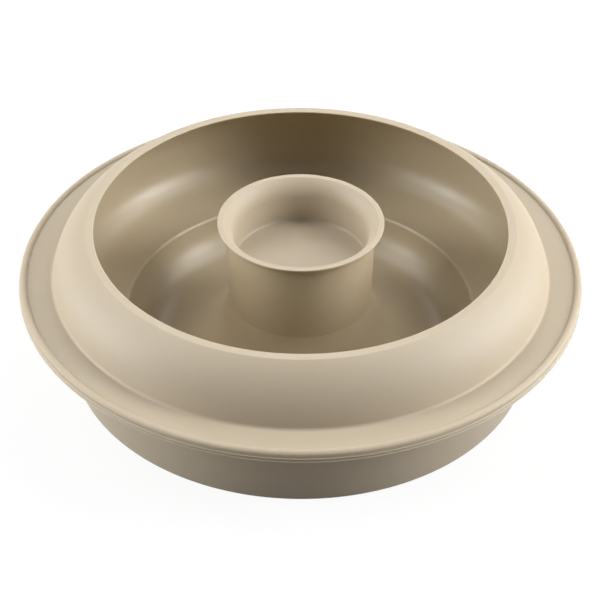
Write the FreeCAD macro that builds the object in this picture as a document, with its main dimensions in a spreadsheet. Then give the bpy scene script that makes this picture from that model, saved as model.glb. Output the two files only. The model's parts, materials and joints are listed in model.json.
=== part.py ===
"""Round silicone cake mould, moulded in one piece.

A ring cavity in two tiers lies round a hollow post, whose head flares into a shallow cup.
The mould stands on a plain skirt that leans in below a flat flange with a beaded rim.
The whole form is turned about Z. The origin is the centre of the base plane and +Z is up.
Every length is in millimetres.
"""
import FreeCAD, Part
import math
import os

import Sketcher

# Driving sizes of the section
SIZES = {
    # moulded wall and the clearance under the lowest part of the cavity
    "wall": 2.2,
    "floor_gap": 0.8,
    # ring cavity, lower tier: a round trough, a sharp crease and a cone that climbs to the post
    "trough_round": 14.8,
    "crease_offset": 1.8,
    "cone_rise": 22.9,
    "seam_round": 1.5,
    # ring cavity, upper tier: a ledge that curves up to the widest part of the mould
    "cavity_radius": 90.0,
    "ledge_width": 25.0,
    "tier_rise": 14.8,
    "shoulder_round": 11.0,
    # domed wall that closes in over the cavity, and its opening
    "dome_round": 24.0,
    "overhang": 14.3,
    "lip_rise": 1.25,
    "opening_round": 0.8,
    # post in the middle and the cup in its head
    "post_radius": 26.9,
    "post_taper": 0.3,
    "post_foot_round": 3.0,
    "cup_depth": 17.6,
    "cup_flare": 9.0,
    "cup_rim_reach": 3.4,
    "cup_rim_width": 1.2,
    "cup_lip_rise": 1.3,
    "cup_under_flare": 6.0,
    "cup_rim_round": 0.35,
    "cup_floor_round": 0.6,
    # flange round the dome, with a bead along its rim and two fine lines on the rim's outer face
    "flange_rise": 4.05,
    "flange_thickness": 2.2,
    "flange_width": 11.8,
    "flange_fillet": 1.2,
    "bead_width": 2.8,
    "bead_rise": 0.95,
    "rim_drop": 0.85,
    "line_margin": 0.5,
    "line_pitch": 1.2,
    "line_width": 0.6,
    "line_proud": 0.2,
    # skirt that carries the mould
    "skirt_standoff": 0.8,
    "skirt_lean": 5.8,
    "skirt_wall": 2.4,
    "skirt_foot_round": 0.7,
}

# Places on the section, worked out from the sizes
PLACES = {
    # radii of the cavity
    "seam_radius": "Size.cavity_radius - Size.ledge_width",
    "trough_centre": "seam_radius - Size.trough_round",
    "crease_radius": "trough_centre + Size.crease_offset",
    "dome_centre": "Size.cavity_radius - Size.dome_round",
    "opening_radius": "Size.cavity_radius - Size.overhang",
    "shoulder_centre": "Size.cavity_radius - Size.shoulder_round",
    # heights of the cavity
    "seam_height": "Size.floor_gap + Size.wall + Size.trough_round",
    "crease_height": "seam_height - sqrt(Size.trough_round^2 - Size.crease_offset^2)",
    "waist_height": "seam_height + Size.tier_rise",
    "lip_foot_height": "waist_height + sqrt(Size.dome_round^2 - (opening_radius - dome_centre)^2)",
    "top_height": "lip_foot_height + Size.lip_rise",
    # arc of the ledge, which meets the shoulder's arc smoothly and runs out level at the seam
    "ledge_round": "(Size.ledge_width^2 + Size.tier_rise^2 - 2 * Size.ledge_width * Size.shoulder_round)"
                   " / (2 * (Size.tier_rise - Size.shoulder_round))",
    "ledge_centre_height": "seam_height + ledge_round",
    "meeting_slope_across": "(shoulder_centre - seam_radius) / (ledge_round - Size.shoulder_round)",
    "meeting_slope_up": "(waist_height - ledge_centre_height) / (ledge_round - Size.shoulder_round)",
    "meeting_radius": "shoulder_centre + meeting_slope_across * Size.shoulder_round",
    "meeting_height": "waist_height + meeting_slope_up * Size.shoulder_round",
    # post and cup
    "post_foot_height": "crease_height + Size.cone_rise",
    "post_head_radius": "Size.post_radius + Size.post_taper",
    "cup_rim_radius": "post_head_radius + Size.cup_rim_reach",
    "cup_mouth_radius": "cup_rim_radius - Size.cup_rim_width",
    "cup_lip_height": "top_height - Size.cup_lip_rise",
    "post_head_height": "cup_lip_height - sqrt(Size.cup_under_flare^2"
                        " - (Size.cup_under_flare - Size.cup_rim_reach)^2)",
    "cup_radius": "post_head_radius - Size.wall",
    "cup_floor_height": "top_height - Size.cup_depth",
    "cup_flare_height": "top_height - sqrt(Size.cup_flare^2"
                        " - (cup_radius + Size.cup_flare - cup_mouth_radius)^2)",
    # outside of the dome, flange and rim
    "waist_radius": "Size.cavity_radius + Size.wall",
    "dome_outer_round": "Size.dome_round + Size.wall",
    "flange_height": "waist_height + Size.flange_rise",
    "flange_under_height": "flange_height - Size.flange_thickness",
    "dome_foot_radius": "dome_centre + sqrt(dome_outer_round^2 - Size.flange_rise^2)",
    "dome_top_radius": "dome_centre + sqrt(dome_outer_round^2 - (top_height - waist_height)^2)",
    "rim_radius": "waist_radius + Size.flange_width",
    "bead_foot_radius": "rim_radius - Size.bead_width",
    "bead_round": "(Size.bead_width^2 / 4 + Size.bead_rise^2) / (2 * Size.bead_rise)",
    "rim_under_height": "flange_under_height - Size.rim_drop",
    "line_crest_radius": "rim_radius + Size.line_proud",
    "lower_line_height": "rim_under_height + Size.line_margin",
    "lower_line_foot_height": "lower_line_height - Size.line_width / 2",
    "lower_line_head_height": "lower_line_height + Size.line_width / 2",
    "upper_line_height": "lower_line_height + Size.line_pitch",
    "upper_line_foot_height": "upper_line_height - Size.line_width / 2",
    "upper_line_head_height": "upper_line_height + Size.line_width / 2",
    # skirt
    "skirt_head_radius": "waist_radius + Size.skirt_standoff",
    "skirt_foot_radius": "skirt_head_radius - Size.skirt_lean",
    "skirt_foot_inside": "skirt_foot_radius - Size.skirt_wall",
    "skirt_length": "sqrt(Size.skirt_lean^2 + flange_under_height^2)",
    # underside of the cup floor and the post
    "cup_under_height": "cup_floor_height - Size.wall",
    "post_foot_inside": "Size.post_radius - Size.wall",
    # underside of the cone: a line one wall below it, down to the trough's outside
    "cone_run": "crease_radius - Size.post_radius",
    "cone_length": "sqrt(cone_run^2 + Size.cone_rise^2)",
    "cone_under_radius": "crease_radius - Size.wall * Size.cone_rise / cone_length",
    "cone_under_height": "crease_height - Size.wall * cone_run / cone_length",
    "cone_head_inside": "cone_under_height"
                        " + (cone_under_radius - post_foot_inside) * Size.cone_rise / cone_run",
    "trough_outer_round": "Size.trough_round + Size.wall",
    "crease_along": "((cone_under_radius - trough_centre) * cone_run"
                    " - (cone_under_height - seam_height) * Size.cone_rise) / cone_length",
    "crease_apart": "(cone_under_radius - trough_centre)^2 + (cone_under_height - seam_height)^2"
                    " - trough_outer_round^2",
    "crease_reach": "sqrt(crease_along^2 - crease_apart) - crease_along",
    "crease_inside_radius": "cone_under_radius + crease_reach * cone_run / cone_length",
    "crease_inside_height": "cone_under_height - crease_reach * Size.cone_rise / cone_length",
    # underside of the seam and the ledge
    "ledge_outer_round": "ledge_round + Size.wall",
    "shoulder_outer_round": "Size.shoulder_round + Size.wall",
    "seam_inside_radius": "trough_centre + sqrt(trough_outer_round^2 - Size.wall^2)",
    "seam_inside_height": "ledge_centre_height"
                          " - sqrt(ledge_outer_round^2 - (seam_inside_radius - seam_radius)^2)",
    "meeting_inside_radius": "shoulder_centre + meeting_slope_across * shoulder_outer_round",
    "meeting_inside_height": "waist_height + meeting_slope_up * shoulder_outer_round",
    # where the inner face of the skirt runs into the shoulder's underside
    "skirt_along": "((skirt_foot_inside - shoulder_centre) * Size.skirt_lean"
                   " - waist_height * flange_under_height) / skirt_length",
    "skirt_apart": "(skirt_foot_inside - shoulder_centre)^2 + waist_height^2 - shoulder_outer_round^2",
    "skirt_reach": "-skirt_along - sqrt(skirt_along^2 - skirt_apart)",
    "skirt_root_radius": "skirt_foot_inside + skirt_reach * Size.skirt_lean / skirt_length",
    "skirt_root_height": "skirt_reach * flange_under_height / skirt_length",
}

# Which way an arc turns as the outline is followed
LEFT = 1
RIGHT = -1

# A corner that lies on the axis or on the base plane
ON_AXIS = "0"

# How near an edge must lie to its place to be the one that is rounded
NEAR = 0.01


def fill_sheet(doc, name, cells):
    """Make a sheet with one named cell to a row."""
    sheet = doc.addObject("Spreadsheet::Sheet", name)
    for row, (alias, content) in enumerate(cells.items(), start=1):
        sheet.set(f"A{row}", alias)
        sheet.set(f"B{row}", content)
        sheet.setAlias(f"B{row}", alias)
    return sheet


def amount(doc, place):
    """Number that a place such as Size.wall stands for."""
    if place == ON_AXIS:
        return 0.0
    sheet, alias = place.split(".")
    return float(getattr(doc.getObject(sheet), alias))


def arc_between(start, end, radius, turn):
    """Arc under half a turn from start to end, turning left or right on its way."""
    along = end - start
    across = FreeCAD.Vector(-along.y, along.x, 0).normalize() * turn
    depth = math.sqrt(max(radius**2 - (along.Length / 2)**2, 0.0))
    centre = start + along / 2 + across * depth
    first, last = (start, end) if turn == LEFT else (end, start)
    angles = [math.atan2(point.y - centre.y, point.x - centre.x) for point in (first, last)]
    if angles[1] < angles[0]:
        angles[1] += 2 * math.pi
    return Part.ArcOfCircle(Part.Circle(centre, FreeCAD.Vector(0, 0, 1), radius), *angles)


def tie(sketch, constraint, label, place):
    """Add a dimension to a sketch and bind it to its cell."""
    number = sketch.addConstraint(constraint)
    sketch.renameConstraint(number, label)
    sketch.setExpression(f"Constraints.{label}", place)


def outline(body, name, corners):
    """Sketch a closed outline of the section.

    Each corner is its name, radius and height. Where an arc leads to it, the arc's radius and
    turn follow. A straight line leads to every other corner, and to the first from the last.
    """
    doc = body.Document
    sketch = body.newObject("Sketcher::SketchObject", name)
    plane = next(item for item in body.Origin.OriginFeatures if item.Role == "XZ_Plane")
    sketch.AttachmentSupport = [(plane, "")]
    sketch.MapMode = "FlatFace"

    spots = [FreeCAD.Vector(amount(doc, corner[1]), amount(doc, corner[2]), 0) for corner in corners]
    ends = []
    for number, corner in enumerate(corners):
        start, end = spots[number - 1], spots[number]
        turn = corner[4] if len(corner) > 3 else None
        if turn is None:
            sketch.addGeometry(Part.LineSegment(start, end), False)
        else:
            sketch.addGeometry(arc_between(start, end, amount(doc, corner[3]), turn), False)
        ends.append((2, 1) if turn == RIGHT else (1, 2))

    origin, level_axis, upright_axis = (-1, 1), -1, -2
    for number, corner in enumerate(corners):
        label, radius_place, height_place = corner[:3]
        following = (number + 1) % len(corners)
        here = (number, ends[number][1])
        sketch.addConstraint(Sketcher.Constraint("Coincident", *here, following, ends[following][0]))
        for kind, axis, place, suffix in (("DistanceX", upright_axis, radius_place, "radius"),
                                          ("DistanceY", level_axis, height_place, "height")):
            if place == ON_AXIS:
                sketch.addConstraint(Sketcher.Constraint("PointOnObject", *here, axis))
            else:
                dimension = Sketcher.Constraint(kind, *origin, *here, amount(doc, place))
                tie(sketch, dimension, f"{label}_{suffix}", place)
        if len(corner) > 3:
            dimension = Sketcher.Constraint("Radius", number, amount(doc, corner[3]))
            tie(sketch, dimension, f"{label}_round", corner[3])
    return sketch


def turned(body, kind, name, corners):
    """Turn an outline about Z, to add it to the body or to cut it away."""
    sketch = outline(body, f"{name}_outline", corners)
    feature = body.newObject(kind, name)
    feature.Profile = sketch
    feature.ReferenceAxis = (sketch, ["V_Axis"])
    feature.Angle = 360.0
    sketch.Visibility = False
    body.Document.recompute()
    return feature


def rounded(body, name, size, places):
    """Round the circular edges that lie at the given radii and heights."""
    doc = body.Document
    base = body.Tip
    names = []
    for radius_place, height_place in places:
        radius, height = amount(doc, radius_place), amount(doc, height_place)
        found = [f"Edge{number}" for number, edge in enumerate(base.Shape.Edges, start=1)
                 if isinstance(edge.Curve, Part.Circle)
                 and abs(edge.Curve.Radius - radius) < NEAR
                 and abs(edge.Curve.Center.z - height) < NEAR]
        if not found:
            raise ValueError(f"{name}: no edge at radius {radius:.2f}, height {height:.2f}")
        names += found
    fillet = body.newObject("PartDesign::Fillet", name)
    fillet.Base = (base, names)
    fillet.setExpression("Radius", size)
    doc.recompute()
    return fillet


def fine_line(level):
    """Corners of one fine ridge on the rim's outer face, from below to above it."""
    return [
        (f"{level}_line_foot", "Place.rim_radius", f"Place.{level}_line_foot_height"),
        (f"{level}_line_crest", "Place.line_crest_radius", f"Place.{level}_line_height"),
        (f"{level}_line_head", "Place.rim_radius", f"Place.{level}_line_head_height"),
    ]


def outer_form(body):
    """Everything inside the outer faces: skirt, flange, beaded rim, dome and flat top."""
    return turned(body, "PartDesign::Revolution", "outer_form", [
        ("axis_foot", ON_AXIS, ON_AXIS),
        ("skirt_foot", "Place.skirt_foot_radius", ON_AXIS),
        ("skirt_head", "Place.skirt_head_radius", "Place.flange_under_height"),
        ("rim_root", "Place.bead_foot_radius", "Place.flange_under_height"),
        ("rim_inside", "Place.bead_foot_radius", "Place.rim_under_height"),
        ("rim_foot", "Place.rim_radius", "Place.rim_under_height"),
        *fine_line("lower"),
        *fine_line("upper"),
        ("bead_outside", "Place.rim_radius", "Place.flange_height"),
        ("bead_foot", "Place.bead_foot_radius", "Place.flange_height", "Place.bead_round", LEFT),
        ("dome_foot", "Place.dome_foot_radius", "Place.flange_height"),
        ("dome_top", "Place.dome_top_radius", "Place.top_height", "Place.dome_outer_round", LEFT),
        ("axis_top", ON_AXIS, "Place.top_height"),
    ])


def ring_cavity(body):
    """Space that the cake fills, from the opening down both tiers and up the post."""
    return turned(body, "PartDesign::Groove", "ring_cavity", [
        ("opening_edge", "Place.opening_radius", "Place.top_height"),
        ("lip_foot", "Place.opening_radius", "Place.lip_foot_height"),
        ("waist", "Size.cavity_radius", "Place.waist_height", "Size.dome_round", RIGHT),
        ("meeting", "Place.meeting_radius", "Place.meeting_height", "Size.shoulder_round", RIGHT),
        ("seam", "Place.seam_radius", "Place.seam_height", "Place.ledge_round", RIGHT),
        ("crease", "Place.crease_radius", "Place.crease_height", "Size.trough_round", RIGHT),
        ("post_foot", "Size.post_radius", "Place.post_foot_height"),
        ("post_head", "Place.post_head_radius", "Place.post_head_height"),
        ("cup_lip", "Place.cup_rim_radius", "Place.cup_lip_height", "Size.cup_under_flare", RIGHT),
        ("cup_rim", "Place.cup_rim_radius", "Place.top_height"),
    ])


def cup_well(body):
    """Inside of the cup in the post's head, with its flared mouth."""
    return turned(body, "PartDesign::Groove", "cup_well", [
        ("axis_floor", ON_AXIS, "Place.cup_floor_height"),
        ("floor_edge", "Place.cup_radius", "Place.cup_floor_height"),
        ("flare_foot", "Place.cup_radius", "Place.cup_flare_height"),
        ("mouth", "Place.cup_mouth_radius", "Place.top_height", "Size.cup_flare", RIGHT),
        ("axis_mouth", ON_AXIS, "Place.top_height"),
    ])


def underside(body):
    """Hollow below: inside the post, one wall under the cavity, and inside the skirt."""
    return turned(body, "PartDesign::Groove", "underside", [
        ("axis_foot", ON_AXIS, ON_AXIS),
        ("axis_head", ON_AXIS, "Place.cup_under_height"),
        ("post_head", "Place.cup_radius", "Place.cup_under_height"),
        ("cone_head", "Place.post_foot_inside", "Place.cone_head_inside"),
        ("crease", "Place.crease_inside_radius", "Place.crease_inside_height"),
        ("seam", "Place.seam_inside_radius", "Place.seam_inside_height",
         "Place.trough_outer_round", LEFT),
        ("meeting", "Place.meeting_inside_radius", "Place.meeting_inside_height",
         "Place.ledge_outer_round", LEFT),
        ("skirt_root", "Place.skirt_root_radius", "Place.skirt_root_height",
         "Place.shoulder_outer_round", LEFT),
        ("skirt_foot", "Place.skirt_foot_inside", ON_AXIS),
    ])


def soft_edges(body):
    """Rounded edges that the moulding has, from the opening down to the foot of the skirt."""
    top = "Place.top_height"
    rounded(body, "opening_edge", "Size.opening_round", [("Place.dome_top_radius", top)])
    rounded(body, "cup_rim_edges", "Size.cup_rim_round", [
        ("Place.cup_rim_radius", top),
        ("Place.cup_mouth_radius", top),
        ("Place.cup_rim_radius", "Place.cup_lip_height"),
    ])
    rounded(body, "cup_floor_edge", "Size.cup_floor_round", [
        ("Place.cup_radius", "Place.cup_floor_height"),
    ])
    rounded(body, "post_foot", "Size.post_foot_round", [
        ("Size.post_radius", "Place.post_foot_height"),
    ])
    rounded(body, "seam_edge", "Size.seam_round", [("Place.seam_radius", "Place.seam_height")])
    rounded(body, "dome_foot", "Size.flange_fillet", [
        ("Place.dome_foot_radius", "Place.flange_height"),
    ])
    rounded(body, "skirt_foot_edge", "Size.skirt_foot_round", [("Place.skirt_foot_radius", ON_AXIS)])


def check(doc, body):
    """Stop if anything in the document failed, or if a cut took nothing away."""
    for item in doc.Objects:
        if "Invalid" in item.State or "Error" in item.State:
            raise RuntimeError(f"{item.Label} failed: {item.State}")
        if item.isDerivedFrom("Sketcher::SketchObject") and not item.FullyConstrained:
            raise RuntimeError(f"{item.Label} isn't fully constrained")
    for item in body.Group:
        if item.isDerivedFrom("PartDesign::Groove"):
            if item.Shape.Volume >= item.BaseFeature.Shape.Volume:
                raise RuntimeError(f"{item.Label} cuts nothing")
    if body.Shape.isNull() or not body.Shape.isValid() or len(body.Shape.Solids) != 1:
        raise RuntimeError("the mould isn't one valid solid")


def build():
    """Make the document and return it with the mould's body."""
    doc = FreeCAD.newDocument("cake_mould")
    fill_sheet(doc, "Size", {alias: str(number) for alias, number in SIZES.items()})
    fill_sheet(doc, "Place", {alias: f"={formula}" for alias, formula in PLACES.items()})
    doc.recompute()

    body = doc.addObject("PartDesign::Body", "cake_mould")
    body.Label = "cake_mould"
    body.Placement = FreeCAD.Placement()
    outer_form(body)
    ring_cavity(body)
    cup_well(body)
    underside(body)
    soft_edges(body)
    doc.recompute()
    check(doc, body)
    return doc, body


document, mould = build()
os.makedirs("parts", exist_ok=True)
mould.Shape.exportStep(f"parts/{mould.Label}.step")
bounds = mould.Shape.optimalBoundingBox(False)
print(f"{mould.Label}: {bounds.XLength:.1f} x {bounds.YLength:.1f} x {bounds.ZLength:.1f} mm,"
      f" {mould.Shape.Volume / 1000:.1f} cm3, {len(mould.Shape.Faces)} faces")
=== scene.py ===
"""Looks of a round silicone cake mould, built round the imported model.

The mould is one moulding. Its section is drawn as a chain of edges and spun about the upright
axis, finely enough for soft light to run over it without facets, and it stands for the CAD node.
Sizes are in millimetres until a point is placed, and everything placed is in metres.
"""

import json
import logging
import math
from dataclasses import dataclass
from enum import Enum
from typing import Any

import bpy
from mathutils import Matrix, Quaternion, Vector
from mathutils.geometry import interpolate_bezier

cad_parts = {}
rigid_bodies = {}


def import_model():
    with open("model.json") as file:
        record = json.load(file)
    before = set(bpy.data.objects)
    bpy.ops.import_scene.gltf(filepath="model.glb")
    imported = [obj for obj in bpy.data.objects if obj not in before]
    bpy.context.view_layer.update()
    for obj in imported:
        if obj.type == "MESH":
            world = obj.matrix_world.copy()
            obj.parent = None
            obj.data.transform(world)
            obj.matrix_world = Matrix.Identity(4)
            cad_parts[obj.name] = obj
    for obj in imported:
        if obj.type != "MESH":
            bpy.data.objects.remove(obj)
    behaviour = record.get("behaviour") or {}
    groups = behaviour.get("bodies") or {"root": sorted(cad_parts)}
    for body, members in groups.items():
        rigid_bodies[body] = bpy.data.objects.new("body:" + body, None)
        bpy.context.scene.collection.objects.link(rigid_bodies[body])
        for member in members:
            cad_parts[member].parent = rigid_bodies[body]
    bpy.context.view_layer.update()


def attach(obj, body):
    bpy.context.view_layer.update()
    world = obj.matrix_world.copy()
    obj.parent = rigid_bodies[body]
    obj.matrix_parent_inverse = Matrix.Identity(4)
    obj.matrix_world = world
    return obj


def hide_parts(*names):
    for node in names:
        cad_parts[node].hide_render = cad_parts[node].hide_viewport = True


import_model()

log = logging.getLogger("cake_mould")
MM = 0.001
NODE = "cake_mould"


class Turn(Enum):
    """Which way an arc bends as the section is followed."""

    LEFT = 1
    RIGHT = -1


def linear(code: str) -> tuple[float, float, float, float]:
    """Turn an sRGB hex colour into linear light.

    Args:
        code: The colour, such as "#c9b99f".

    Returns:
        Red, green, blue and an alpha of 1.
    """
    def channel(value: float) -> float:
        """Linear value of one sRGB channel."""
        return value / 12.92 if value <= 0.04045 else ((value + 0.055) / 1.055) ** 2.4

    red, green, blue = (channel(int(code[at:at + 2], 16) / 255) for at in (1, 3, 5))
    return red, green, blue, 1.0


def add_node(tree: bpy.types.NodeTree, kind: str, links: dict[str | int, Any] | None = None,
             **settings: Any) -> bpy.types.Node:
    """Add a node to a tree, with its settings and what it takes in.

    Args:
        tree: The material's or world's node tree.
        kind: The node's type name.
        links: Input, by name or number, to the socket that feeds it or to its plain value.
        settings: Properties of the node itself.

    Returns:
        The new node.
    """
    node = tree.nodes.new(kind)
    for name, value in settings.items():
        setattr(node, name, value)
    for name, source in (links or {}).items():
        if isinstance(source, bpy.types.NodeSocket):
            tree.links.new(source, node.inputs[name])
        else:
            node.inputs[name].default_value = source
    return node


@dataclass(frozen=True)
class MouldedSilicone:
    """Food-grade silicone rubber, compression moulded between two steel tools.

    The tool that shapes the cavity is polished, so that the cake comes away clean, and the outer
    one is bead blasted. The first gives soft, stretched highlights, and the second an even, matte
    face. Light enters the rubber a little way, which keeps its edges soft.

    Args:
        name: The material's name.
        roughness: How far the tool's finish spreads a highlight.
        body: The rubber's colour, which in the cavity's copy also carries painted shade tone.
        pale: Its colour where there is a little less pigment.
        ior: Index of refraction, a little over silicone's own to match the photo's highlights.
        scatter: Share of the light that goes into the rubber.
        scatter_mm: How far red light goes.
        scatter_share: How far red, green and blue go, as shares of that.
        cloud_mm: Size of the pigment's drift.
        grain_mm: Size of the tool's print.
        grain_depth_mm: Depth of that print.
    """

    name: str
    roughness: float
    body: str
    pale: str
    ior: float = 1.5
    scatter: float = 0.4
    scatter_mm: float = 1.6
    scatter_share: tuple[float, float, float] = (1.0, 0.75, 0.5)
    cloud_mm: float = 38.0
    grain_mm: float = 0.45
    grain_depth_mm: float = 0.006

    def build(self) -> bpy.types.Material:
        """Make the material.

        Returns:
            The silicone, on object coordinates.
        """
        material = bpy.data.materials.new(self.name)
        material.use_nodes = True
        tree = material.node_tree
        tree.nodes.clear()
        place = add_node(tree, "ShaderNodeTexCoord").outputs["Object"]
        # Slow drift of the pigment, as in a batch that was milled by hand
        cloud = add_node(tree, "ShaderNodeTexNoise", {
            "Vector": place, "Scale": 1 / (self.cloud_mm * MM), "Detail": 2.0, "Roughness": 0.5})
        colour = add_node(tree, "ShaderNodeMix", {
            "A": linear(self.body), "B": linear(self.pale), "Factor": cloud.outputs["Fac"]},
            data_type="RGBA")
        # Print of the tool's own surface, coarser than the real grit so that it shows at all
        grain = add_node(tree, "ShaderNodeTexNoise", {
            "Vector": place, "Scale": 1 / (self.grain_mm * MM), "Detail": 3.0, "Roughness": 0.6})
        bump = add_node(tree, "ShaderNodeBump", {
            "Height": grain.outputs["Fac"], "Distance": self.grain_depth_mm * MM, "Strength": 1.0})
        shader = add_node(tree, "ShaderNodeBsdfPrincipled", {
            "Base Color": colour.outputs["Result"],
            "Roughness": self.roughness,
            "IOR": self.ior,
            "Subsurface Weight": self.scatter,
            "Subsurface Scale": self.scatter_mm * MM,
            "Subsurface Radius": self.scatter_share,
            "Normal": bump.outputs["Normal"]})
        add_node(tree, "ShaderNodeOutputMaterial", {"Surface": shader.outputs["BSDF"]})
        return material


@dataclass(frozen=True)
class PaleFloor:
    """Seamless paper sweep that the camera sees as white, with the mould's soft shadow on it.

    Args:
        name: The material's name.
        paper: The paper's colour to the light that it throws back at the mould.
        seen_paper: Its colour to the camera and in reflections.
        seen_share: Share of plain white in what is seen near the mould.
        shadow_reach: How far from the mould's axis that share holds, in metres.
        white_reach: From where all that is seen is plain white, in metres.
    """

    name: str = "pale_floor"
    paper: str = "#807a70"
    seen_paper: str = "#ffffff"
    seen_share: float = 0.9
    shadow_reach: float = 0.3
    white_reach: float = 1.0

    def build(self) -> bpy.types.Material:
        """Make the material.

        Returns:
            The floor's paper.
        """
        material = bpy.data.materials.new(self.name)
        material.use_nodes = True
        tree = material.node_tree
        tree.nodes.clear()
        path = add_node(tree, "ShaderNodeLightPath").outputs
        # Only what is seen of the paper is white, so that it throws no glare up at the mould
        mirrored = add_node(tree, "ShaderNodeMath", {
            0: path["Is Glossy Ray"], 1: path["Is Transmission Ray"]}, operation="MAXIMUM")
        seen = add_node(tree, "ShaderNodeMath", {
            0: path["Is Camera Ray"], 1: mirrored.outputs[0]}, operation="MAXIMUM")
        # The paper far off goes to full white, so that no horizon shows in a low view
        place = add_node(tree, "ShaderNodeTexCoord").outputs["Object"]
        away = add_node(tree, "ShaderNodeVectorMath", {0: place}, operation="LENGTH")
        white = add_node(tree, "ShaderNodeMapRange", {
            "Value": away.outputs["Value"], "From Min": self.shadow_reach,
            "From Max": self.white_reach, "To Min": self.seen_share, "To Max": 1.0})
        share = add_node(tree, "ShaderNodeMath", {
            0: seen.outputs[0], 1: white.outputs["Result"]}, operation="MULTIPLY")
        tint = add_node(tree, "ShaderNodeMix", {
            "A": linear(self.paper), "B": linear(self.seen_paper), "Factor": seen.outputs[0]},
            data_type="RGBA")
        paper = add_node(tree, "ShaderNodeBsdfDiffuse", {"Color": tint.outputs["Result"]})
        glow = add_node(tree, "ShaderNodeEmission", {
            "Color": linear(self.seen_paper), "Strength": 1.0})
        blend = add_node(tree, "ShaderNodeMixShader", {
            "Fac": share.outputs[0], 1: paper.outputs["BSDF"], 2: glow.outputs["Emission"]})
        add_node(tree, "ShaderNodeOutputMaterial", {"Surface": blend.outputs["Shader"]})
        return material


@dataclass(frozen=True)
class Corner:
    """A corner of the section and how the outline reaches it from the corner before.

    Args:
        radius: Distance from the axis, in millimetres.
        height: Height above the base, in millimetres.
        soften: Radius that the corner is rounded to, or 0 for a sharp one.
        arc: Radius of the arc that leads here, or 0 for a straight run.
        turn: Which way that arc bends.
    """

    radius: float
    height: float
    soften: float = 0.0
    arc: float = 0.0
    turn: Turn = Turn.LEFT

    @property
    def spot(self) -> Vector:
        """The corner as a flat vector."""
        return Vector((self.radius, self.height))


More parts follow.
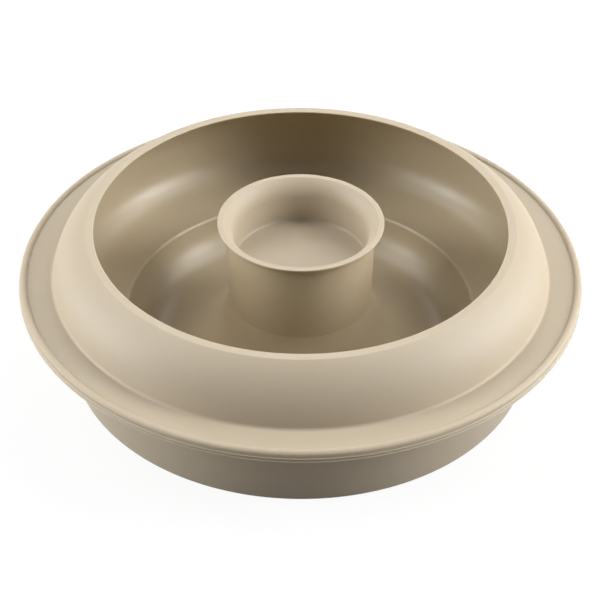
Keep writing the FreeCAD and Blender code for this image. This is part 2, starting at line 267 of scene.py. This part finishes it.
@dataclass
class MouldBody:
    """The moulding: ring cavity, post with its cup, dome, flange, rim and skirt.

    The sizes are in millimetres. They are the CAD section's, but for the channel that climbs to
    the post, the shoulder's arc, the dome's arcs and lip, the cup's rim, the seam's rounding and
    the rim's fine lines, which were read more closely from the photo after the CAD rounds.
    """

    # The wall, the ring cavity and the dome
    wall: float = 2.2
    floor_gap: float = 0.8
    trough_round: float = 14.8
    channel_rise: float = 19.4
    seam_round: float = 1.1
    cavity_radius: float = 90.0
    ledge_width: float = 25.0
    tier_rise: float = 14.8
    shoulder_round: float = 13.6
    dome_round: float = 26.7
    dome_rise: float = 23.2
    overhang: float = 14.3
    lip_rise: float = 0.42
    opening_round: float = 0.6
    # Post and cup
    post_radius: float = 26.9
    post_taper: float = 0.3
    post_foot_round: float = 0.8
    cup_depth: float = 17.6
    cup_flare: float = 9.0
    cup_rim_reach: float = 3.4
    cup_rim_width: float = 2.0
    cup_lip_rise: float = 0.6
    cup_under_flare: float = 6.0
    cup_rim_round: float = 0.2
    cup_floor_round: float = 1.1
    # Flange, its bead and the rim's two fine lines
    flange_rise: float = 4.05
    flange_thickness: float = 2.2
    flange_width: float = 11.7
    flange_fillet: float = 1.2
    bead_width: float = 2.8
    bead_rise: float = 0.95
    rim_drop: float = 1.1
    line_margin: float = 0.5
    line_pitch: float = 1.25
    line_width: float = 0.7
    line_proud: float = 0.3
    # Skirt
    skirt_standoff: float = 0.8
    skirt_lean: float = 5.8
    skirt_wall: float = 2.4
    skirt_foot_round: float = 0.7
    fine_edge: float = 0.2
    # How finely the section and its turn are drawn
    spin_steps: int = 256
    arc_step_deg: float = 4.0
    arc_step_mm: float = 1.4
    soften_steps: int = 5
    crease_deg: float = 35.0
    weld_gap: float = 0.005
    # Finishes of the cavity, and of the cup and the outside. The rubber is one colour, but the
    # cavity's copy is a touch yellower, as painted shade tone set to the cavity's deep shade.
    polished: MouldedSilicone = MouldedSilicone("polished_silicone", 0.36, "#b3a58b", "#b5a78d")
    blasted: MouldedSilicone = MouldedSilicone("blasted_silicone", 0.55, "#b2a58f", "#b4a793")

    def cup(self) -> list[Corner]:
        """Corners of the cup's face, from the middle of its floor out over its rim."""
        cup_radius = self.head_radius - self.wall
        rim_radius = self.head_radius + self.cup_rim_reach
        mouth_radius = rim_radius - self.cup_rim_width
        flare_reach = cup_radius + self.cup_flare - mouth_radius
        flare_height = self.top - math.sqrt(self.cup_flare ** 2 - flare_reach ** 2)
        return [
            Corner(0.0, self.top - self.cup_depth),
            Corner(cup_radius, self.top - self.cup_depth, soften=self.cup_floor_round),
            Corner(cup_radius, flare_height),
            Corner(mouth_radius, self.top, soften=self.cup_rim_round, arc=self.cup_flare,
                   turn=Turn.RIGHT),
            Corner(rim_radius, self.top, soften=self.cup_rim_round),
            Corner(rim_radius, self.top - self.cup_lip_rise, soften=self.cup_rim_round),
        ]

    def cavity(self) -> list[Corner]:
        """Corners of the ring cavity's face, from under the cup's rim out to the opening."""
        under_reach = self.cup_under_flare - self.cup_rim_reach
        head_drop = self.cup_lip_rise + math.sqrt(self.cup_under_flare ** 2 - under_reach ** 2)
        meeting = self.meeting(self.shoulder_round)
        return [
            Corner(self.head_radius, self.top - head_drop, arc=self.cup_under_flare),
            Corner(self.post_radius, self.channel_floor + self.channel_rise,
                   soften=self.post_foot_round),
            Corner(self.channel_radius, self.channel_floor, arc=self.channel_round),
            Corner(self.seam_radius, self.seam_height, soften=self.seam_round,
                   arc=self.trough_round),
            Corner(meeting.x, meeting.y, arc=self.ledge_round),
            Corner(self.cavity_radius, self.waist, arc=self.shoulder_round),
            Corner(self.opening_radius, self.top - self.lip_rise, arc=self.vault_round),
            Corner(self.opening_radius, self.top, soften=self.fine_edge),
        ]

    def outside(self) -> list[Corner]:
        """Corners of the outer face, from the opening's rim down to the foot of the skirt."""
        centre = self.cavity_radius + self.wall - self.dome_round
        top_radius = centre + math.sqrt(self.dome_round ** 2 - self.dome_rise ** 2)
        foot_radius = centre + math.sqrt(self.dome_round ** 2 - self.flange_rise ** 2)
        rim_radius = self.cavity_radius + self.wall + self.flange_width
        bead_foot = rim_radius - self.bead_width
        flange = self.waist + self.flange_rise
        bead_round = (self.bead_width ** 2 / 4 + self.bead_rise ** 2) / (2 * self.bead_rise)
        under = self.flange_under
        rim_under = under - self.rim_drop
        lower_line = rim_under + self.line_margin
        corners = [
            Corner(top_radius, self.top, soften=self.opening_round),
            Corner(foot_radius, flange, soften=self.flange_fillet, arc=self.dome_round,
                   turn=Turn.RIGHT),
            Corner(bead_foot, flange, soften=self.fine_edge),
            Corner(rim_radius, flange, arc=bead_round, turn=Turn.RIGHT),
        ]
        for line in (lower_line + self.line_pitch, lower_line):
            corners += [
                Corner(rim_radius, line + self.line_width / 2),
                Corner(rim_radius + self.line_proud, line),
                Corner(rim_radius, line - self.line_width / 2),
            ]
        return corners + [
            Corner(rim_radius, rim_under, soften=self.fine_edge),
            Corner(bead_foot, rim_under, soften=self.fine_edge),
            Corner(bead_foot, under),
            Corner(self.skirt_head, under),
            Corner(self.skirt_head - self.skirt_lean, 0.0, soften=self.skirt_foot_round),
        ]

    def underside(self) -> list[Corner]:
        """Corners of the underside, from inside the skirt's foot in to the axis."""
        trough_outer = self.trough_round + self.wall
        channel_outer = self.channel_round + self.wall
        shoulder_outer = self.shoulder_round + self.wall
        ledge_outer = self.ledge_round + self.wall
        foot = Vector((self.skirt_head - self.skirt_lean - self.skirt_wall, 0.0))
        skirt_way = Vector((self.skirt_lean, self.flange_under)).normalized()
        root = self.crossing(foot, skirt_way, self.shoulder_centre, shoulder_outer)
        meeting = self.meeting(shoulder_outer)
        seam_inside = self.channel_radius + math.sqrt(trough_outer ** 2 - self.wall ** 2)
        ledge = self.ledge_centre
        seam_under = ledge.y - math.sqrt(ledge_outer ** 2 - (seam_inside - ledge.x) ** 2)
        post_inside = self.post_radius - self.wall
        channel_reach = self.channel_radius - post_inside
        channel_centre = self.channel_floor + self.channel_round
        channel_head = channel_centre - math.sqrt(channel_outer ** 2 - channel_reach ** 2)
        cup_under = self.top - self.cup_depth - self.wall
        return [
            Corner(foot.x, foot.y, soften=self.fine_edge),
            Corner(root.x, root.y),
            Corner(meeting.x, meeting.y, arc=shoulder_outer, turn=Turn.RIGHT),
            Corner(seam_inside, seam_under, arc=ledge_outer, turn=Turn.RIGHT),
            Corner(self.channel_radius, self.floor_gap, arc=trough_outer, turn=Turn.RIGHT),
            Corner(post_inside, channel_head, arc=channel_outer, turn=Turn.RIGHT),
            Corner(self.head_radius - self.wall, cup_under),
            Corner(0.0, cup_under),
        ]

    @property
    def channel_floor(self) -> float:
        """Height of the ring cavity's lowest line."""
        return self.floor_gap + self.wall

    @property
    def seam_height(self) -> float:
        """Height of the seam, where the trough ends and the ledge starts."""
        return self.channel_floor + self.trough_round

    @property
    def waist(self) -> float:
        """Height of the widest part."""
        return self.seam_height + self.tier_rise

    @property
    def seam_radius(self) -> float:
        """Radius of the seam."""
        return self.cavity_radius - self.ledge_width

    @property
    def channel_radius(self) -> float:
        """Radius of the ring cavity's lowest line."""
        return self.seam_radius - self.trough_round

    @property
    def channel_round(self) -> float:
        """Radius of the arc that climbs from the lowest line to the post, level where it starts."""
        reach = self.channel_radius - self.post_radius
        return (reach ** 2 + self.channel_rise ** 2) / (2 * self.channel_rise)

    @property
    def head_radius(self) -> float:
        """Radius of the post at its head."""
        return self.post_radius + self.post_taper

    @property
    def opening_radius(self) -> float:
        """Inner radius of the opening."""
        return self.cavity_radius - self.overhang

    @property
    def top(self) -> float:
        """Height of the opening's rim, which the cup's rim shares."""
        return self.waist + self.dome_rise

    @property
    def vault_round(self) -> float:
        """Radius of the dome's inner face, which starts upright at the waist."""
        rise = self.dome_rise - self.lip_rise
        return (rise ** 2 + self.overhang ** 2) / (2 * self.overhang)

    @property
    def flange_under(self) -> float:
        """Height of the flange's underside."""
        return self.waist + self.flange_rise - self.flange_thickness

    @property
    def skirt_head(self) -> float:
        """Outer radius of the skirt where it meets the flange."""
        return self.cavity_radius + self.wall + self.skirt_standoff

    @property
    def shoulder_centre(self) -> Vector:
        """Centre of the shoulder's arc."""
        return Vector((self.cavity_radius - self.shoulder_round, self.waist))

    @property
    def ledge_centre(self) -> Vector:
        """Centre of the ledge's arc."""
        return Vector((self.seam_radius, self.seam_height + self.ledge_round))

    @property
    def ledge_round(self) -> float:
        """Radius of the ledge's arc, which runs into the shoulder's and is level at the seam."""
        return ((self.ledge_width ** 2 + self.tier_rise ** 2
                 - 2 * self.ledge_width * self.shoulder_round)
                / (2 * (self.tier_rise - self.shoulder_round)))

    def meeting(self, reach: float) -> Vector:
        """Where the shoulder's arc meets the ledge's.

        Args:
            reach: Distance from the shoulder's centre, which is its radius on either face.

        Returns:
            The point that both arcs share.
        """
        shoulder = self.shoulder_centre
        return shoulder + (shoulder - self.ledge_centre).normalized() * reach

    @staticmethod
    def crossing(spot: Vector, way: Vector, centre: Vector, radius: float) -> Vector:
        """Where a line first crosses a circle.

        Args:
            spot: A point on the line.
            way: The line's direction, of unit length.
            centre: Centre of the circle.
            radius: Radius of the circle.

        Returns:
            The crossing.
        """
        along = (spot - centre).dot(way)
        apart = (spot - centre).length_squared - radius ** 2
        half_chord = math.sqrt(along ** 2 - apart)
        return spot - way * (along + half_chord)

    def run_to(self, start: Vector, corner: Corner) -> list[Vector]:
        """Points along the run that leads to a corner, without its start.

        Args:
            start: The corner before.
            corner: The corner that the run leads to.

        Returns:
            The run's points, ending at the corner.
        """
        end = corner.spot
        if not corner.arc:
            return [end]
        along = end - start
        side = corner.turn.value
        depth = math.sqrt(max(corner.arc ** 2 - along.length_squared / 4, 0.0))
        centre = start + along / 2 + Vector((-along.y, along.x)).normalized() * depth * side
        swing = 2 * math.asin(min(along.length / 2 / corner.arc, 1.0))
        steps = math.ceil(max(math.degrees(swing) / self.arc_step_deg,
                              swing * corner.arc / self.arc_step_mm))
        first = math.atan2(start.y - centre.y, start.x - centre.x)
        angles = [first + side * swing * step / steps for step in range(1, steps + 1)]
        return [centre + Vector((math.cos(angle), math.sin(angle))) * corner.arc
                for angle in angles]

    def softened(self, before: list[Vector], after: list[Vector], radius: float) -> list[Vector]:
        """Round the corner between two runs, which are both cut back to make room.

        Args:
            before: Points of the run that ends at the corner.
            after: Points of the run that starts there.
            radius: Radius to round to.

        Returns:
            Points of the rounded corner, between the ends of the two shortened runs.
        """
        corner = before[-1]
        way_in = (corner - before[-2]).normalized()
        way_out = (after[1] - corner).normalized()
        turn = way_in.angle(way_out)
        reach = radius * math.tan(turn / 2)
        head, way_in = self.cut_back(before, reach)
        tail, way_out = self.cut_back(after[::-1], reach)
        way_out = -way_out
        before[:] = head
        after[:] = tail[::-1]
        start, end = before[-1], after[0]
        # The usual length of a Bezier curve's handles, at which it keeps close to an arc
        handle = 4 / 3 * math.tan(way_in.angle(way_out) / 4) * radius
        curve = interpolate_bezier(start, start + way_in * handle, end - way_out * handle, end,
                                   self.soften_steps + 1)
        return [spot.to_2d() for spot in curve[1:-1]]

    @staticmethod
    def cut_back(points: list[Vector], reach: float) -> tuple[list[Vector], Vector]:
        """Shorten a run at its end.

        Args:
            points: The run's points.
            reach: How much to take off, in millimetres.

        Returns:
            The shortened run and its direction at the new end.
        """
        points = list(points)
        while len(points) > 2 and (points[-1] - points[-2]).length <= reach:
            reach -= (points[-1] - points[-2]).length
            points.pop()
        way = (points[-1] - points[-2]).normalized()
        points[-1] = points[-1] - way * reach
        return points, way

    def section(self) -> list[list[Vector]]:
        """Points of the whole section, from the middle of the cup round to under its floor.

        Returns:
            The cup, the cavity and the rest, in millimetres, each from the last point of the
            stretch before.
        """
        cup, cavity = self.cup(), self.cavity()
        corners = cup + cavity + self.outside() + self.underside()
        ends = [cup[-1], cavity[-1]]
        runs = [[before.spot] + self.run_to(before.spot, after)
                for before, after in zip(corners, corners[1:])]
        stretches = []
        chain = list(runs[0])
        for corner, before, after in zip(corners[1:], runs, runs[1:]):
            bend = []
            if corner.soften:
                # The run that is already in the chain is put in again, cut back
                start = len(chain) - len(before)
                bend = self.softened(before, after, corner.soften)
                chain[start:] = before + bend
            if corner in ends:
                stretches.append(chain)
                chain = chain[-1:]
            chain += after if bend else after[1:]
        return stretches + [chain]

    def shell(self, name: str, stretch: list[Vector], finish: MouldedSilicone) -> bpy.types.Object:
        """Draw a stretch of the section as a chain of edges, and spin it about the axis.

        Args:
            name: The shell's name.
            stretch: The stretch's points, in millimetres.
            finish: What it is dressed in.

        Returns:
            The open shell.
        """
        points = [Vector((spot.x, 0.0, spot.y)) * MM for spot in stretch]
        bpy.ops.mesh.primitive_plane_add(size=MM, location=points[0])
        shell = bpy.context.object
        shell.name = name
        bpy.ops.object.transform_apply(location=True, rotation=True, scale=True)
        bpy.ops.object.mode_set(mode="EDIT")
        bpy.ops.mesh.merge(type="CENTER")
        for before, after in zip(points, points[1:]):
            bpy.ops.mesh.extrude_region_move(TRANSFORM_OT_translate={"value": after - before})
        bpy.ops.mesh.select_all(action="SELECT")
        bpy.ops.mesh.spin(steps=self.spin_steps, angle=math.tau, center=(0.0, 0.0, 0.0),
                          axis=(0.0, 0.0, 1.0))
        bpy.ops.object.mode_set(mode="OBJECT")
        shell.data.materials.append(finish.build())
        return shell

    def build(self) -> bpy.types.Object:
        """Make the shells and weld them into one closed moulding.

        Returns:
            The finished mould.
        """
        cup, cavity, outside = self.section()
        inner = [self.shell("cup_face", cup, self.blasted),
                 self.shell("cavity_face", cavity, self.polished)]
        mould = self.shell("moulded_body", outside, self.blasted)
        for shell in inner:
            shell.select_set(True)
        bpy.ops.object.join()
        bpy.ops.object.mode_set(mode="EDIT")
        bpy.ops.mesh.select_all(action="SELECT")
        bpy.ops.mesh.remove_doubles(threshold=self.weld_gap * MM)
        bpy.ops.mesh.normals_make_consistent(inside=False)
        bpy.ops.object.mode_set(mode="OBJECT")
        bpy.ops.object.shade_smooth_by_angle(angle=math.radians(self.crease_deg))
        return mould


@dataclass(frozen=True)
class SoftBox:
    """A soft box that hangs round the mould and faces it.

    Args:
        name: The light's name.
        turn_deg: Where it hangs, from the camera's side round by the right.
        rise_deg: How high it hangs, as an angle from the floor.
        width: Its width, in metres.
        height: Its height, in metres.
        power: Its power, in watts.
    """

    name: str
    turn_deg: float
    rise_deg: float
    width: float
    height: float
    power: float

    def hang(self, aim: Vector, reach: float) -> None:
        """Hang the box.

        Args:
            aim: What it faces.
            reach: How far away it hangs, in metres.
        """
        turn, rise = math.radians(self.turn_deg), math.radians(self.rise_deg)
        level = math.cos(rise)
        way = Vector((math.sin(turn) * level, -math.cos(turn) * level, math.sin(rise)))
        bpy.ops.object.light_add(type="AREA", location=aim + way * reach)
        lamp = bpy.context.object
        lamp.name = self.name
        lamp.data.shape = "RECTANGLE"
        lamp.data.size, lamp.data.size_y = self.width, self.height
        lamp.data.energy = self.power
        lamp.rotation_euler = (-way).to_track_quat("-Z", "Y").to_euler()


@dataclass
class Studio:
    """Floor, lights, surround and camera. The places and sizes are in metres."""

    white: str = "#ffffff"
    floor_size: float = 12.0
    aim: tuple[float, float, float] = (0.0, 0.0, 0.03)
    reach: float = 1.3
    fill: float = 0.02
    boxes: tuple[SoftBox, ...] = (
        SoftBox("right_box", 82.0, 27.0, 0.4, 0.6, 12.0),
        SoftBox("right_front_box", 66.0, 27.0, 0.4, 0.6, 2.5),
        SoftBox("right_high_box", 101.0, 52.0, 0.6, 0.6, 6.5),
        SoftBox("right_low_box", 100.0, 8.0, 0.6, 0.3, 7.0),
        SoftBox("left_box", 279.0, 26.0, 0.4, 0.6, 8.2),
        SoftBox("left_front_box", 295.0, 26.0, 0.4, 0.6, 1.9),
        SoftBox("left_high_box", 257.0, 54.0, 0.6, 0.6, 5.4),
        SoftBox("left_low_box", 266.0, 8.0, 0.6, 0.3, 7.8),
        SoftBox("rear_box", 180.0, 42.0, 0.8, 0.5, 5.9),
        SoftBox("top_box", 0.0, 68.0, 0.6, 0.5, 0.6),
    )
    target: tuple[float, float, float] = (0.0, 0.0, 0.0376)
    elevation_deg: float = 36.76
    distance: float = 0.6067
    lens_mm: float = 97.6
    roll_deg: float = 0.42
    shift_across: float = -0.001
    shift_up: float = -0.0662
    nearest: float = 0.01

    def floor(self) -> None:
        """Lay the paper floor."""
        bpy.ops.mesh.primitive_plane_add(size=self.floor_size, location=(0.0, 0.0, 0.0))
        floor = bpy.context.object
        floor.name = "paper_floor"
        floor.data.materials.append(PaleFloor().build())

    def lights(self) -> None:
        """Hang the soft boxes: strong at both sides, weak behind and overhead."""
        for box in self.boxes:
            box.hang(Vector(self.aim), self.reach)

    def surround(self) -> None:
        """Make the room: white to the camera, and a dim even fill for everything else."""
        world = bpy.data.worlds.new("studio")
        bpy.context.scene.world = world
        world.use_nodes = True
        tree = world.node_tree
        tree.nodes.clear()
        path = add_node(tree, "ShaderNodeLightPath").outputs
        fill, white = (
            add_node(tree, "ShaderNodeBackground", {"Color": linear(self.white), "Strength": level})
            for level in (self.fill, 1.0))
        blend = add_node(tree, "ShaderNodeMixShader", {
            "Fac": path["Is Camera Ray"], 1: fill.outputs[0], 2: white.outputs[0]})
        add_node(tree, "ShaderNodeOutputWorld", {"Surface": blend.outputs["Shader"]})

    def camera(self) -> None:
        """Set the camera at the photograph's angle."""
        rise = math.radians(self.elevation_deg)
        target = Vector(self.target)
        back = Vector((0.0, -math.cos(rise), math.sin(rise)))
        bpy.ops.object.camera_add(location=target + back * self.distance)
        camera = bpy.context.object
        camera.name = "photo_view"
        camera.rotation_mode = "QUATERNION"
        roll = Quaternion((0.0, 0.0, 1.0), math.radians(self.roll_deg))
        camera.rotation_quaternion = (-back).to_track_quat("-Z", "Y") @ roll
        camera.data.lens = self.lens_mm
        camera.data.shift_x = self.shift_across
        camera.data.shift_y = self.shift_up
        camera.data.clip_start = self.nearest
        bpy.context.scene.camera = camera

    def build(self) -> None:
        """Set up the whole studio."""
        self.floor()
        self.lights()
        self.surround()
        self.camera()
        bpy.context.scene.view_settings.view_transform = "Standard"


def main() -> None:
    """Build the mould and the studio."""
    logging.basicConfig(level=logging.INFO, format="%(name)s: %(message)s")
    bpy.ops.object.select_all(action="DESELECT")
    mould = MouldBody().build()
    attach(mould, "root")
    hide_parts(NODE)
    log.info("moulded_body: %d faces", len(mould.data.polygons))
    Studio().build()


if __name__ == "__main__":
    main()
